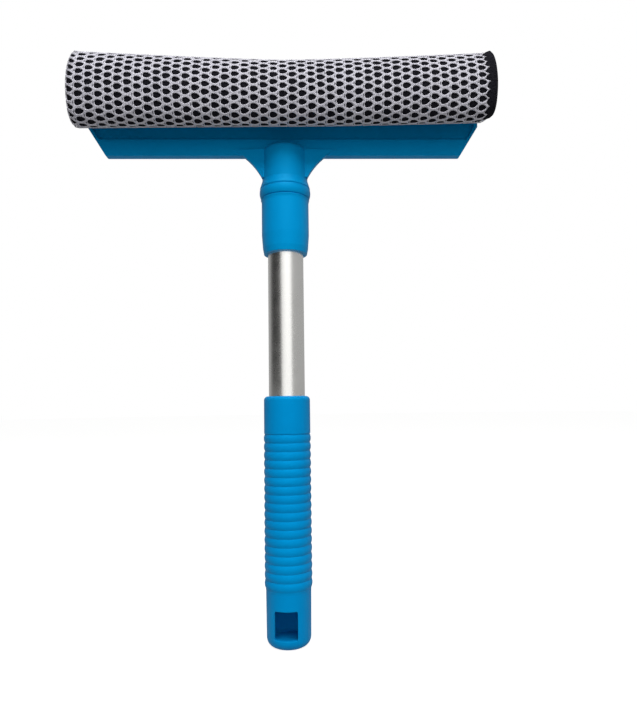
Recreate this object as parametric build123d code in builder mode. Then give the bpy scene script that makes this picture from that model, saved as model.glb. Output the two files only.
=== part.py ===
from build123d import *
import math
import os

os.makedirs("parts", exist_ok=True)

# Window scrubber: a net-covered foam pad and a rubber blade on a moulded head,
# screwed to a short aluminium handle. Millimetres. The origin is the middle of the
# grip's end face, +Z runs up the handle to the head, +X along the head, and the pad
# faces -Y.

# Shared fits
overrun = 1.0  # how far a cut runs past the face it opens
press_gap = 0.05  # radial gap of pieces driven into each other
slip_gap = 0.1  # radial gap of pieces pushed over each other
soft_gap = 0.25  # gap kept round foam, net and rubber
thread_gap = 0.25  # gap between the flanks of the two threads

# Handle tube
tube_od = 22.0
tube_wall = 1.0
tube_exposed = 88.2

# Grip
grip_length = 146.0
grip_top_od = 28.1
grip_top_round = 2.4
rib_count = 18
rib_pitch = 5.0
rib_od = 28.5
rib_valley_od = 27.3
first_rib_down = 25.4  # from the grip's top edge to the first rib
tail_od = 26.9
tail_end_od = 26.3
tail_end_round = 5.0
tail_step = 1.6  # height of the slope from the last rib to the tail
pocket_floor = 3.6
pocket_height = 26.4
pocket_wall = 2.3
pocket_round = 2.0
bulkhead = 3.0
window_width = 13.5
window_height = 16.3
window_rise = 6.1  # from the end face to the window's lower edge
window_turn = -6.5  # degrees the window is turned to the left of the front
window_round = 1.0

# Plug that closes the tube's lower end
plug_flange = 2.0
plug_length = 14.0
plug_bore_od = 12.0
plug_lead = 0.8

# Threaded collar on the tube's upper end
collar_length = 35.0
collar_foot_od = 26.8
collar_low_od = 28.2
collar_waist_od = 29.4
collar_rim_od = 30.4
collar_rim_edge = 0.4
collar_flare = 2.4
collar_foot_height = 3.6
collar_swell_height = 12.0
collar_end_wall = 5.0
spigot_length = 16.5
spigot_core_od = 18.0
spigot_bore_od = 11.0
spigot_lead = 1.2

# Thread of the collar and the head
thread_pitch = 4.0
thread_turns = 3.0
thread_depth = 1.2
thread_root_width = 2.2
thread_crest_width = 1.0
thread_start = 2.6  # from the collar's shoulder to the thread's first turn
thread_root_bite = 0.4  # how deep the ridge is rooted in its core
thread_run_out_share = 0.15  # of a turn that the head's groove runs past the ridge

# Pin through collar and tube
pin_od = 3.0
pin_head_od = 4.4
pin_head_height = 0.8
pin_inset = 2.0  # how far the pin reaches inside the tube
pin_below_shoulder = 20.0

# Seal washer between collar and head
washer_od = 26.0
washer_id = 21.6
washer_thickness = 1.0
washer_room = 0.2  # radial gap of the washer in the neck's recess
joint_gap = 0.3  # between the collar's shoulder and the neck's rim round the washer

# Neck of the head
neck_od = 28.4
neck_foot_od = 30.4
neck_bead_od = 31.8
neck_crease_od = 31.4
neck_rim_edge = 0.4
neck_crease_height = 5.6  # from the neck's rim to the groove over its bead
neck_crease_depth = 0.5
neck_cone_height = 11.5  # from the rim to where the neck is plain
neck_height = 26.8  # from the rim to the head plate's lower edge
socket_depth = 21.2
socket_bore_od = 19.0
boss_rise = 6.2  # how far the neck climbs over the plate's lower edge
boss_round = 4.0

# Head plate
plate_low_width = 221.8
plate_width = 245.4
plate_slope_height = 18.9
plate_height = 47.4
plate_wall = 3.0
band_height = 10.6
band_proud = 2.0
end_wall = 2.2
end_wall_height = 22.0
plate_corner = 1.2

# Gussets between neck and plate
gusset_reach = 32.5  # from the middle to a gusset's tip
gusset_tip_rise = 3.9  # from the plate's lower edge to the tip and the top edge
gusset_mid_reach = 22.4
gusset_mid_drop = 3.3
gusset_foot_drop = 14.4
gusset_front = 6.6
gusset_tip_proud = 0.3

# Stiffening ribs on the plate's back
back_rib_wall = 1.8
back_rib_depth = 5.0
back_rib_lift = 4.0
back_rib_spacing = 36.0
back_rib_count = 6

# Foam pad in its net sleeve
pad_length = 253.6
pad_offset = 0.8  # how far the pad's middle lies right of the head's
pad_height = 40.9
pad_depth = 34.2
pad_drop = 1.1  # from the plate's ledge down to the pad's lowest line
pad_seat_gap = 0.3  # between the net and the plate behind it
pad_end_rise = 4.8  # how much higher the pad's top is at its ends
pad_left_drop = 1.5  # how much lower its bottom is at the left end
pad_right_rise = 2.2  # and how much higher at the right end
pad_end_swell = 1.4  # how much further forward its ends bulge
pad_round_low = 9.5
pad_round_top = 11.0
pad_round_back = 5.0
pad_low_turn = 28.0  # degrees below level where the front runs into the low corner
pad_top_turn = 38.0  # degrees above level where it runs into the top corner
pad_under_slope = 28.0  # degrees the underside climbs towards the plate
pad_top_slope = 10.0  # degrees the top falls towards the plate
pad_end_soft = 2.6
sleeve_thickness = 0.8
sleeve_bare_end = 5.5  # bare foam past the sleeve's cut end
sleeve_lip = 4.4  # how far the net folds over the foam's left end
swell_power = 1.3
station_shares = (-0.8, -0.55, -0.28, 0.0, 0.28, 0.55, 0.8)

# Carrier strip behind the foam, and its screws
carrier_length = 236.0
carrier_width = 17.2
carrier_wall = 2.4
carrier_rise = 15.2  # from the pad's bottom to the carrier's lower edge
carrier_round = 4.0
carrier_gap = 0.2
boss_od = 7.0
boss_length = 8.0
boss_floor = 1.2
screw_spacings = (36.0, 96.0)
screw_rise = 4.4  # from the carrier's lower edge to the screws
screw_od = 2.9
screw_pilot_gap = 0.04
screw_through_gap = 0.3
screw_head_od = 6.6
screw_head_height = 2.0
screw_length = 11.0
screw_slot_width = 0.9
screw_slot_depth = 0.8

# Rubber blade, its channel and its end caps
blade_overhang = 2.3  # how far the blade reaches past each end of the plate
blade_wall = 2.0
blade_bulb_od = 4.4
blade_height = 25.0
blade_tilt = 15.0
channel_wall = 8.6
channel_floor = 6.4
channel_lip = 6.0
channel_y = 4.4
channel_below_top = 6.0
channel_round = 1.2
cap_wall = 1.6
cap_peg_od = 2.2
cap_peg_length = 5.0
cap_peg_drop = 4.4
cap_inset = 0.2

# Places worked out from the sizes
grip_top = grip_length
collar_foot = grip_top + tube_exposed
shoulder = collar_foot + collar_length
washer_top = shoulder + washer_thickness
neck_rim = shoulder + joint_gap
plate_low = neck_rim + neck_height
ledge = plate_low + band_height
pad_bottom = ledge - pad_drop
plate_top = plate_low + plate_height
tube_radius = tube_od / 2
tube_bore = tube_radius - tube_wall
bulkhead_top = pocket_floor + pocket_height + bulkhead
tube_foot = bulkhead_top + plug_flange
tube_top = shoulder - collar_end_wall
pad_back = plate_wall + pad_seat_gap  # how far the pad's back lies before y = 0
carrier_back = pad_back + sleeve_thickness + carrier_gap
carrier_front = carrier_back + carrier_wall
carrier_low = pad_bottom + carrier_rise
screw_z = carrier_low + screw_rise
screw_places = [(side * x, screw_z) for x in screw_spacings for side in (-1, 1)]
pin_z = shoulder - pin_below_shoulder
channel_z = plate_top - channel_below_top
blade_length = plate_width + 2 * blade_overhang

pad_half = pad_length / 2
pad_left = pad_offset - pad_half
pad_right = pad_offset + pad_half
low_sine = math.sin(math.radians(pad_low_turn))
low_cosine = math.cos(math.radians(pad_low_turn))
top_sine = math.sin(math.radians(pad_top_turn))
top_cosine = math.cos(math.radians(pad_top_turn))
under_sine = math.sin(math.radians(pad_under_slope))
under_cosine = math.cos(math.radians(pad_under_slope))
fall_sine = math.sin(math.radians(pad_top_slope))
fall_cosine = math.cos(math.radians(pad_top_slope))


def swell(x):
    return abs((x - pad_offset) / pad_half) ** swell_power


def pad_section(x, grow):
    # Cross-section of the pad at x, grown on every side: a flat back, an underside and
    # a top that slope, and a curved front, joined by five arcs that touch smoothly.
    low = pad_bottom + swell(x) * (-pad_left_drop if x < 0 else pad_right_rise)
    high = pad_bottom + pad_height + swell(x) * pad_end_rise
    front = -(pad_back + pad_depth + swell(x) * pad_end_swell)
    corners_rise = pad_round_low * (1 - low_sine) + pad_round_top * (1 - top_sine)
    front_round = (high - low - corners_rise) / (low_sine + top_sine)
    low_reach = front_round - pad_round_low
    top_reach = front_round - pad_round_top
    front_y = front + front_round
    front_z = low + pad_round_low + low_reach * low_sine
    low_y = front_y - low_reach * low_cosine
    low_z = front_z - low_reach * low_sine
    top_y = front_y - top_reach * top_cosine
    top_z = front_z + top_reach * top_sine
    back_y = -pad_back - pad_round_back
    under_run = (back_y - low_y) * under_sine - (pad_round_low - pad_round_back)
    fall_run = (back_y - top_y) * fall_sine - (pad_round_top - pad_round_back)
    back_low = (back_y, low_z + under_run / under_cosine)
    back_top = (back_y, top_z - fall_run / fall_cosine)
    under_turn = 90 - pad_under_slope
    front_turn = 180 - pad_low_turn
    brow_turn = 180 + pad_top_turn
    fall_turn = 270 + pad_top_slope
    with BuildSketch(Plane.YZ.offset(x)) as section:
        with BuildLine():
            heel = CenterArc(back_low, pad_round_back + grow, 0, -under_turn)
            low_arc = CenterArc(
                (low_y, low_z), pad_round_low + grow, -under_turn, under_turn - front_turn
            )
            CenterArc(
                (front_y, front_z), front_round + grow, -front_turn, front_turn - brow_turn
            )
            top_arc = CenterArc(
                (top_y, top_z), pad_round_top + grow, -brow_turn, brow_turn - fall_turn
            )
            brow = CenterArc(back_top, pad_round_back + grow, -fall_turn, fall_turn - 360)
            Line(heel @ 1, low_arc @ 0)
            Line(top_arc @ 1, brow @ 0)
            Line(brow @ 1, heel @ 0)
        make_face()
    return section.sketch


def pad_stations(left_end, right_end, right_is_soft):
    # Where the sections stand along the pad, with how far each is drawn in: only a
    # soft end is.
    inner = [(pad_offset + share * pad_half, 0) for share in station_shares]
    left = [(left_end, pad_end_soft), (left_end + pad_end_soft, 0)]
    right = [(right_end, 0)]
    if right_is_soft:
        right = [(right_end - pad_end_soft, 0), (right_end, pad_end_soft)]
    return left + inner + right


def thread_ridge(depth, root_width, crest_width, start, turns):
    # A trapezoid carried along a right-hand helix round the collar's core.
    with BuildPart() as ridge:
        with BuildLine():
            path = Helix(
                pitch=thread_pitch,
                height=thread_pitch * turns,
                radius=spigot_core_od / 2,
                center=(0, 0, start),
            )
        with BuildSketch(Plane(origin=path @ 0, x_dir=(1, 0, 0), z_dir=path % 0)):
            with BuildLine():
                Polyline(
                    (-thread_root_bite, -root_width / 2),
                    (depth, -crest_width / 2),
                    (depth, crest_width / 2),
                    (-thread_root_bite, root_width / 2),
                    close=True,
                )
            make_face()
        sweep(path=path, is_frenet=True)
    return ridge.part


# Tube
with BuildPart() as tube:
    with BuildSketch(Plane.XY.offset(tube_foot)):
        Circle(tube_radius)
        Circle(tube_bore, mode=Mode.SUBTRACT)
    extrude(amount=tube_top - tube_foot)
    with BuildSketch(Plane.XZ.offset(-tube_radius - overrun)):
        with Locations((0, pin_z)):
            Circle(pin_od / 2 + press_gap)
    extrude(amount=tube_radius, mode=Mode.SUBTRACT)
tube.part.label = "tube"

# Plug in the tube's lower end
with BuildPart() as tube_plug:
    with BuildSketch(Plane.XY.offset(bulkhead_top)):
        Circle(tube_radius)
    extrude(amount=plug_flange)
    with BuildSketch(Plane.XY.offset(tube_foot)):
        Circle(tube_bore - press_gap)
    extrude(amount=plug_length)
    chamfer(tube_plug.edges().sort_by(Axis.Z)[-1], plug_lead)
    with BuildSketch(Plane.XY.offset(tube_foot)):
        Circle(plug_bore_od / 2)
    extrude(amount=plug_length, mode=Mode.SUBTRACT)
tube_plug.part.label = "tube_plug"

# Grip
rib_top = grip_top - first_rib_down
rib_rise = (rib_od - rib_valley_od) / 2
rib_half = rib_pitch / 2
ribs_low = rib_top - rib_pitch * (rib_count - 1) - rib_half
with BuildPart() as grip:
    with BuildSketch(Plane.XZ):
        with BuildLine():
            foot = Line((0, 0), (tail_end_od / 2 - tail_end_round, 0))
            corner = RadiusArc(
                foot @ 1, (tail_end_od / 2, tail_end_round), -tail_end_round
            )
            tail = Line(corner @ 1, (tail_od / 2, ribs_low - tail_step))
            Line(tail @ 1, (rib_valley_od / 2, ribs_low))
            for rib in range(rib_count):
                level = ribs_low + rib_pitch * rib
                ridge = ThreePointArc(
                    (rib_valley_od / 2, level),
                    (rib_od / 2, level + rib_half),
                    (rib_valley_od / 2, level + rib_pitch),
                )
            step = Line(ridge @ 1, (grip_top_od / 2, rib_top + rib_half + rib_rise))
            side = Line(step @ 1, (grip_top_od / 2, grip_top - grip_top_round))
            brow = RadiusArc(
                side @ 1, (grip_top_od / 2 - grip_top_round, grip_top), -grip_top_round
            )
            rim = Line(brow @ 1, (0, grip_top))
            Line(rim @ 1, (0, 0))
        make_face()
    revolve(axis=Axis.Z)
    with BuildSketch(Plane.XY.offset(bulkhead_top)):
        Circle(tube_radius + slip_gap)
    extrude(amount=grip_top - bulkhead_top + overrun, mode=Mode.SUBTRACT)
    with BuildSketch(Plane.XZ):
        pocket_radius = tail_end_od / 2 - pocket_wall
        with BuildLine():
            Line((0, pocket_floor), (pocket_radius - pocket_round, pocket_floor))
            RadiusArc(
                (pocket_radius - pocket_round, pocket_floor),
                (pocket_radius, pocket_floor + pocket_round),
                -pocket_round,
            )
            Line(
                (pocket_radius, pocket_floor + pocket_round),
                (pocket_radius, pocket_floor + pocket_height),
            )
            Line(
                (pocket_radius, pocket_floor + pocket_height),
                (0, pocket_floor + pocket_height),
            )
            Line((0, pocket_floor + pocket_height), (0, pocket_floor))
        make_face()
    revolve(axis=Axis.Z, mode=Mode.SUBTRACT)
    turn = math.radians(window_turn)
    window_plane = Plane(
        origin=(0, 0, 0),
        x_dir=(math.cos(turn), math.sin(turn), 0),
        z_dir=(math.sin(turn), -math.cos(turn), 0),
    )
    with BuildSketch(window_plane):
        with Locations((0, window_rise + window_height / 2)):
            RectangleRounded(window_width, window_height, window_round)
    extrude(amount=tail_od, mode=Mode.SUBTRACT)
grip.part.label = "grip"

# Threaded collar
core_radius = spigot_core_od / 2
spigot_top = shoulder + spigot_length
collar_thread = thread_ridge(
    thread_depth,
    thread_root_width,
    thread_crest_width,
    shoulder + thread_start,
    thread_turns,
)
with BuildPart() as threaded_collar:
    with BuildSketch(Plane.XZ):
        with BuildLine():
            base = Line(
                (tube_radius + slip_gap, collar_foot),
                (collar_foot_od / 2, collar_foot),
            )
            foot = Line(base @ 1, (collar_low_od / 2, collar_foot + collar_foot_height))
            swelling = Line(
                foot @ 1, (collar_waist_od / 2, collar_foot + collar_swell_height)
            )
            waist = Line(
                swelling @ 1, (collar_waist_od / 2, shoulder - collar_rim_edge - collar_flare)
            )
            flare = TangentArc(
                waist @ 1, (collar_rim_od / 2, shoulder - collar_rim_edge), tangent=(0, 1)
            )
            edge = Line(flare @ 1, (collar_rim_od / 2 - collar_rim_edge, shoulder))
            seat = Line(edge @ 1, (core_radius, shoulder))
            spigot = Line(seat @ 1, (core_radius, spigot_top - spigot_lead))
            lead = Line(spigot @ 1, (core_radius - spigot_lead, spigot_top))
            crown = Line(lead @ 1, (spigot_bore_od / 2, spigot_top))
            bore = Line(crown @ 1, (spigot_bore_od / 2, tube_top))
            stop = Line(bore @ 1, (tube_radius + slip_gap, tube_top))
            Line(stop @ 1, base @ 0)
        make_face()
    revolve(axis=Axis.Z)
    add(collar_thread)
    with BuildSketch(Plane.XZ.offset(-collar_waist_od)):
        with Locations((0, pin_z)):
            Circle(pin_od / 2 + press_gap)
    extrude(amount=collar_waist_od, mode=Mode.SUBTRACT)
threaded_collar.part.label = "threaded_collar"

# Pin that holds the collar on the tube
pin_outer = collar_waist_od / 2
with BuildPart() as collar_pin:
    with BuildSketch(Plane.XZ.offset(-(pin_outer + pin_head_height))):
        with Locations((0, pin_z)):
            Circle(pin_head_od / 2)
    extrude(amount=pin_head_height)
    fillet(collar_pin.edges().group_by(Axis.Y)[-1], pin_head_height / 2)
    with BuildSketch(Plane.XZ.offset(-pin_outer)):
        with Locations((0, pin_z)):
            Circle(pin_od / 2)
    extrude(amount=pin_outer - tube_bore + pin_inset)
collar_pin.part.label = "collar_pin"

# Seal washer
with BuildPart() as seal_washer:
    with BuildSketch(Plane.XY.offset(shoulder)):
        Circle(washer_od / 2)
        Circle(washer_id / 2, mode=Mode.SUBTRACT)
    extrude(amount=washer_thickness)
seal_washer.part.label = "seal_washer"

# Gusset on the right of the neck
with BuildPart() as gusset:
    with BuildSketch(Plane.XZ.offset(plate_wall)):
        tip = (gusset_reach, plate_low + gusset_tip_rise)
        with BuildLine():
            Line((0, plate_low - gusset_foot_drop), (neck_od / 2, plate_low - gusset_foot_drop))
            ThreePointArc(
                (neck_od / 2, plate_low - gusset_foot_drop),
                (gusset_mid_reach, plate_low - gusset_mid_drop),
                tip,
            )
            Line(tip, (0, plate_low + gusset_tip_rise))
            Line((0, plate_low + gusset_tip_rise), (0, plate_low - gusset_foot_drop))
        make_face()
    extrude(amount=gusset_front)
    with BuildSketch(Plane.XY.offset(plate_low - gusset_foot_drop)):
        with BuildLine():
            Polyline(
                (0, -plate_wall),
                (gusset_reach, -plate_wall),
                (gusset_reach, -plate_wall - band_proud - gusset_tip_proud),
                (neck_od / 2, -gusset_front),
                (0, -gusset_front),
                close=True,
            )
        make_face()
    extrude(amount=gusset_foot_drop + gusset_tip_rise, mode=Mode.INTERSECT)

# Section plane of the blade: local x across the blade, local y up along it
tilt = math.radians(blade_tilt)


def blade_plane(x):
    return Plane(
        origin=(x, channel_y, channel_z),
        x_dir=(0, math.cos(tilt), -math.sin(tilt)),
        z_dir=(1, 0, 0),
    )


def channel_outline(shrink):
    with Locations((0, (channel_lip - channel_floor) / 2)):
        RectangleRounded(
            channel_wall - shrink, channel_floor + channel_lip - shrink, channel_round
        )


# Head frame: plate, neck, gussets, back ribs and blade channel in one moulding
half_low = plate_low_width / 2
half_width = plate_width / 2
ledge_half = half_low + (half_width - half_low) * band_height / plate_slope_height
slope_top = plate_low + plate_slope_height
neck_radius = neck_od / 2
neck_crease = neck_rim + neck_crease_height
boss_top = plate_low + boss_rise
head_groove = thread_ridge(
    thread_depth + thread_gap,
    thread_root_width + 2 * thread_gap,
    thread_crest_width + thread_gap,
    shoulder + thread_start - thread_pitch,
    thread_turns + 1 + thread_run_out_share,
)
with BuildPart() as head_frame:
    with BuildSketch(Plane.XZ):
        with BuildLine():
            Polyline(
                (-half_low, plate_low),
                (half_low, plate_low),
                (half_width, slope_top),
                (half_width, plate_top),
                (-half_width, plate_top),
                (-half_width, slope_top),
                close=True,
            )
        make_face()
        fillet(vertices().group_by(Axis.Y)[0], plate_corner)
    extrude(amount=plate_wall)
    with BuildSketch(Plane.XZ.offset(plate_wall)):
        with BuildLine():
            Polyline(
                (-half_low, plate_low),
                (half_low, plate_low),
                (half_width, slope_top),
                (half_width, plate_low + end_wall_height),
                (-half_width, plate_low + end_wall_height),
                (-half_width, slope_top),
                close=True,
            )
        make_face()
        fillet(vertices().group_by(Axis.Y)[0], plate_corner)
        with BuildLine():
            Polyline(
                (-ledge_half + end_wall, ledge),
                (ledge_half - end_wall, ledge),
                (half_width - end_wall, slope_top),
                (half_width - end_wall, plate_top),
                (-half_width + end_wall, plate_top),
                (-half_width + end_wall, slope_top),
                close=True,
            )
        make_face(mode=Mode.SUBTRACT)
    extrude(amount=band_proud)
    add(gusset.part)
    add(mirror(gusset.part, about=Plane.YZ, mode=Mode.PRIVATE))
    with BuildSketch(Plane.XZ):
        with BuildLine():
            rim = Line((0, neck_rim), (neck_foot_od / 2 - neck_rim_edge, neck_rim))
            edge = Line(rim @ 1, (neck_foot_od / 2, neck_rim + neck_rim_edge))
            bead = ThreePointArc(
                edge @ 1,
                (neck_bead_od / 2, neck_rim + neck_crease_height / 2),
                (neck_crease_od / 2, neck_crease),
            )
            groove = Polyline(
                bead @ 1,
                (neck_crease_od / 2 - neck_crease_depth, neck_crease + neck_crease_depth / 2),
                (neck_crease_od / 2, neck_crease + 2 * neck_crease_depth),
            )
            cone = Line(groove @ 1, (neck_radius, neck_rim + neck_cone_height))
            side = Line(cone @ 1, (neck_radius, boss_top - boss_round))
            brow = RadiusArc(side @ 1, (neck_radius - boss_round, boss_top), -boss_round)
            top = Line(brow @ 1, (0, boss_top))
            Line(top @ 1, (0, neck_rim))
        make_face()
    revolve(axis=Axis.Z)
    for column in range(back_rib_count):
        rib_x = (column - (back_rib_count - 1) / 2) * back_rib_spacing
        rib_low = plate_low + back_rib_lift
        with BuildSketch(Plane.YZ.offset(rib_x - back_rib_wall / 2)):
            with BuildLine():
                Polyline(
                    (-plate_wall, rib_low),
                    (0, rib_low),
                    (back_rib_depth, rib_low + back_rib_depth),
                    (back_rib_depth, channel_z),
                    (-plate_wall, channel_z),
                    close=True,
                )
            make_face()
        extrude(amount=back_rib_wall)
    with BuildSketch(blade_plane(-blade_length / 2)):
        channel_outline(0)
    extrude(amount=blade_length)
    with BuildSketch(blade_plane(-blade_length / 2)):
        Circle(blade_bulb_od / 2 + soft_gap)
        with Locations((0, channel_lip / 2 + overrun / 2)):
            Rectangle(blade_wall + 2 * soft_gap, channel_lip + overrun)
        with Locations((0, -cap_peg_drop)):
            Circle(cap_peg_od / 2 + press_gap)
    extrude(amount=blade_length, mode=Mode.SUBTRACT)
    with BuildSketch(Plane.XY.offset(neck_rim)):
        Circle(socket_bore_od / 2)
    extrude(amount=socket_depth, mode=Mode.SUBTRACT)
    with BuildSketch(Plane.XY.offset(washer_top)):
        Circle(washer_od / 2 + washer_room)
    extrude(amount=-washer_thickness, mode=Mode.SUBTRACT)
    add(head_groove, mode=Mode.SUBTRACT)
    with BuildSketch(Plane.XZ.offset(-overrun)):
        with Locations(*screw_places):
            Circle(screw_od / 2 + screw_through_gap)
    extrude(amount=plate_wall + 2 * overrun, mode=Mode.SUBTRACT)
    room = [pad_section(x, soft_gap) for x, _ in pad_stations(pad_left, pad_right, False)]
    loft(room, ruled=True, mode=Mode.SUBTRACT)
head_frame.part.label = "head_frame"

# Carrier strip that the foam and the net sit on
with BuildPart() as pad_carrier:
    with BuildSketch(Plane.XZ.offset(carrier_back)):
        with Locations((0, carrier_low + carrier_width / 2)):
            RectangleRounded(carrier_length, carrier_width, carrier_round)
    extrude(amount=carrier_wall)
    with BuildSketch(Plane.XZ.offset(carrier_front)):
        with Locations(*screw_places):
            Circle(boss_od / 2)
    extrude(amount=boss_length)
    with BuildSketch(Plane.XZ.offset(carrier_back)):
        with Locations(*screw_places):
            Circle(screw_od / 2 + screw_pilot_gap)
    extrude(amount=carrier_wall + boss_length - boss_floor, mode=Mode.SUBTRACT)
pad_carrier.part.label = "pad_carrier"

# Screws from behind the plate into the carrier
with BuildPart() as carrier_screws:
    with BuildSketch(Plane.XZ.offset(-screw_head_height)):
        with Locations(*screw_places):
            Circle(screw_head_od / 2)
    extrude(amount=screw_head_height)
    fillet(carrier_screws.edges().group_by(Axis.Y)[-1], screw_head_height / 2)
    with BuildSketch(Plane.XZ):
        with Locations(*screw_places):
            Circle(screw_od / 2)
    extrude(amount=screw_length)
    with BuildSketch(Plane.XZ.offset(-screw_head_height)):
        with Locations(*screw_places):
            Rectangle(screw_slot_width, screw_head_od)
            Rectangle(screw_head_od, screw_slot_width)
    extrude(amount=screw_slot_depth, mode=Mode.SUBTRACT)
carrier_screws.part.label = "carrier_screws"

# Foam pad
foam_inset = sleeve_thickness + carrier_gap
with BuildPart() as foam_pad:
    foam_stations = pad_stations(pad_left + foam_inset, pad_right, True)
    loft([pad_section(x, -foam_inset - inset) for x, inset in foam_stations], ruled=True)
    with BuildSketch(Plane.XZ.offset(carrier_back - overrun)):
        with Locations((0, carrier_low + carrier_width / 2)):
            RectangleRounded(
                carrier_length + 2 * carrier_gap, carrier_width + 2 * carrier_gap, carrier_round
            )
    extrude(amount=carrier_wall + overrun + carrier_gap, mode=Mode.SUBTRACT)
    with BuildSketch(Plane.XZ.offset(carrier_front)):
        with Locations(*screw_places):
            Circle(boss_od / 2 + carrier_gap)
    extrude(amount=boss_length + carrier_gap, mode=Mode.SUBTRACT)
foam_pad.part.label = "foam_pad"

# Net sleeve round foam and carrier: open at the right end, folded in at the left
sleeve_end = pad_right - sleeve_bare_end
with BuildPart() as mesh_sleeve:
    skin = pad_stations(pad_left, sleeve_end, False)
    loft([pad_section(x, -inset) for x, inset in skin], ruled=True)
    hollow = pad_stations(pad_left + sleeve_thickness, sleeve_end + overrun, False)
    inside = [pad_section(x, -sleeve_thickness - inset) for x, inset in hollow]
    loft(inside, ruled=True, mode=Mode.SUBTRACT)
    extrude(pad_section(pad_left, -sleeve_lip), amount=sleeve_lip, mode=Mode.SUBTRACT)
    with BuildSketch(Plane.XZ):
        with Locations(*screw_places):
            Circle(screw_od / 2 + screw_through_gap)
    extrude(amount=carrier_front, mode=Mode.SUBTRACT)
mesh_sleeve.part.label = "mesh_sleeve"

# Rubber blade
with BuildPart() as rubber_blade:
    with BuildSketch(blade_plane(-blade_length / 2)):
        Circle(blade_bulb_od / 2)
        with Locations((0, (blade_height - blade_bulb_od / 2) / 2)):
            Rectangle(blade_wall, blade_height - blade_bulb_od / 2)
    extrude(amount=blade_length)
rubber_blade.part.label = "rubber_blade"

# End caps that keep the blade in its channel
with BuildPart() as blade_cap_right:
    with BuildSketch(blade_plane(blade_length / 2)):
        channel_outline(cap_inset)
    extrude(amount=cap_wall)
    with BuildSketch(blade_plane(blade_length / 2 - cap_peg_length)):
        with Locations((0, -cap_peg_drop)):
            Circle(cap_peg_od / 2)
    extrude(amount=cap_peg_length)
blade_cap_right.part.label = "blade_cap_right"
blade_cap_left = mirror(blade_cap_right.part, about=Plane.YZ)
blade_cap_left.label = "blade_cap_left"

pieces = [
    grip.part,
    tube.part,
    tube_plug.part,
    threaded_collar.part,
    collar_pin.part,
    seal_washer.part,
    head_frame.part,
    pad_carrier.part,
    carrier_screws.part,
    foam_pad.part,
    mesh_sleeve.part,
    rubber_blade.part,
    blade_cap_left,
    blade_cap_right.part,
]
for piece in pieces:
    export_step(piece, f"parts/{piece.label}.step")
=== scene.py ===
import math

import bmesh
import bpy
import numpy as np
from mathutils import Matrix, Vector


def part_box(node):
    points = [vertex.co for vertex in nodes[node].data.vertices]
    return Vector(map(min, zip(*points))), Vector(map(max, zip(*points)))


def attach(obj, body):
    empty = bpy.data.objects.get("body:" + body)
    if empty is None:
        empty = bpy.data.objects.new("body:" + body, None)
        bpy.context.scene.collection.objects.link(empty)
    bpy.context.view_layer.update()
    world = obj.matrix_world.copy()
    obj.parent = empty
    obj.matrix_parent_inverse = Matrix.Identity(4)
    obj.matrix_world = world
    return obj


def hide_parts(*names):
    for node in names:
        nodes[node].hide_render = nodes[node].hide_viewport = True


# Window scrubber: a net-covered foam pad on a moulded blue head, a screwed collar, a bare
# aluminium tube and a ribbed blue grip. Everything is in metres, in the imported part's frame.

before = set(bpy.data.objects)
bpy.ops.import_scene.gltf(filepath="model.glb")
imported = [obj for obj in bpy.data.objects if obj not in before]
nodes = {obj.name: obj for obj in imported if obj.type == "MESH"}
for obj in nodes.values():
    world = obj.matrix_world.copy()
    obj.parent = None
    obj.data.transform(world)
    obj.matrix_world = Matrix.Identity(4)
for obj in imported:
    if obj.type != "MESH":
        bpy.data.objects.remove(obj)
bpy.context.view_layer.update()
print("frame loaded:", len(nodes), "nodes")

mm = 0.001


# Meshes

def makePiece(name, points, faces, body, material, uvMaps=None):
    # A mesh object from an array of points and lists of corner numbers, smooth all over.
    mesh = bpy.data.meshes.new(name)
    mesh.from_pydata(points.tolist(), [], faces)
    for mapName, corners in (uvMaps or {}).items():
        layer = mesh.uv_layers.new(name=mapName)
        layer.data.foreach_set("uv", corners.astype(np.float32).ravel())
    mesh.polygons.foreach_set("use_smooth", np.ones(len(mesh.polygons), bool))
    mesh.update()
    piece = bpy.data.objects.new(name, mesh)
    bpy.context.scene.collection.objects.link(piece)
    mesh.materials.append(material)
    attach(piece, body)
    return piece


def weld(piece, distance):
    # Joins points that lie together.
    work = bmesh.new()
    work.from_mesh(piece.data)
    bmesh.ops.remove_doubles(work, verts=work.verts, dist=distance)
    work.to_mesh(piece.data)
    work.free()


# Material helpers

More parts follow.
